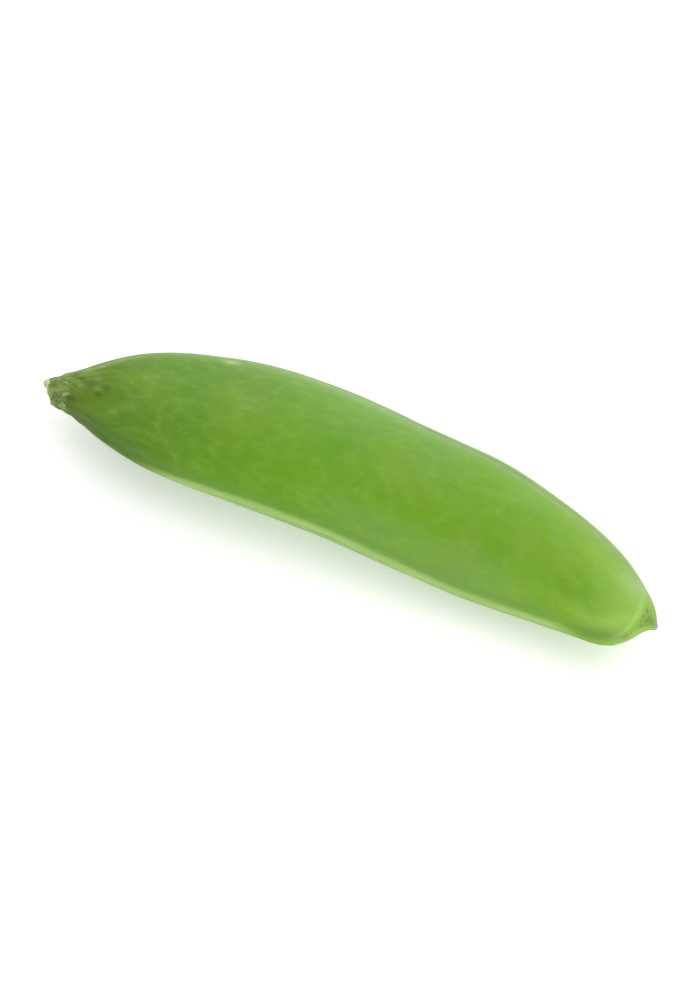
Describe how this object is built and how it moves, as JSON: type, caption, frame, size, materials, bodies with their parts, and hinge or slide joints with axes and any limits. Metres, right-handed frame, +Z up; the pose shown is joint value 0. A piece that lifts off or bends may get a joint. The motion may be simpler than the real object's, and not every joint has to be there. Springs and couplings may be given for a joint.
{
  "type": "sugar snap pea pod",
  "caption": "Whole closed pea pod lying on its broad side, one seam nearly straight and the other arched, with a narrow stem end and a blunt tip.",
  "frame": {"origin": "under the middle of the pod's box, on the surface that the pod lies on", "axes": "+X along the pod from the stem end to the blossom end, +Z up through its two broad sides, the nearly straight seam facing -Y and the arched seam facing +Y"},
  "size_m": [0.08, 0.0198, 0.0121],
  "materials": {
    "pod_skin": "fresh green vegetable skin with a thin waxy bloom, satin"
  },
  "bodies": {
    "root": {"pod": "pod_skin"}
  },
  "joints": []
}
